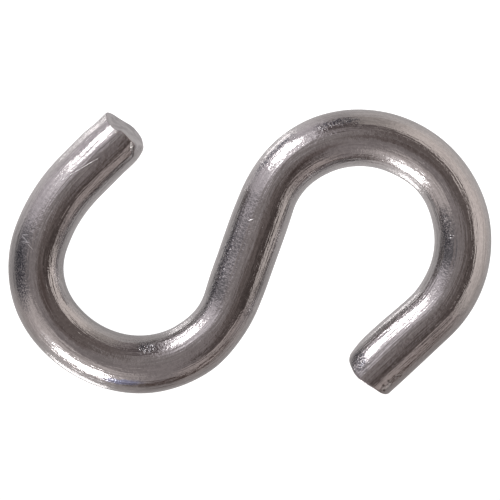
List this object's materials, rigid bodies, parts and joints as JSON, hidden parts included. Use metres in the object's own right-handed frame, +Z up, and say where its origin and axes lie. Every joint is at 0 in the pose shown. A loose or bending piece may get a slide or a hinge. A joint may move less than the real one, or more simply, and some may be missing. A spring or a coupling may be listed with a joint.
{
  "type": "s hook",
  "caption": "Open S hook bent from round wire, with a wide bow at either end and bare sheared tips.",
  "frame": {"origin": "middle of the hook's overall box, at the underside of the wire as the hook lies flat", "axes": "+X along the hook's length, from the left hook to the right hook; +Y in the plane of the wire, toward the left hook's tip; +Z up, square to the plane of the wire"},
  "size_m": [0.0498, 0.0294, 0.0058],
  "materials": {
    "bright_wire": "bright drawn steel wire, fine draw lines and light handling scuffs"
  },
  "bodies": {
    "root": {"s_hook": "bright_wire"}
  },
  "joints": []
}
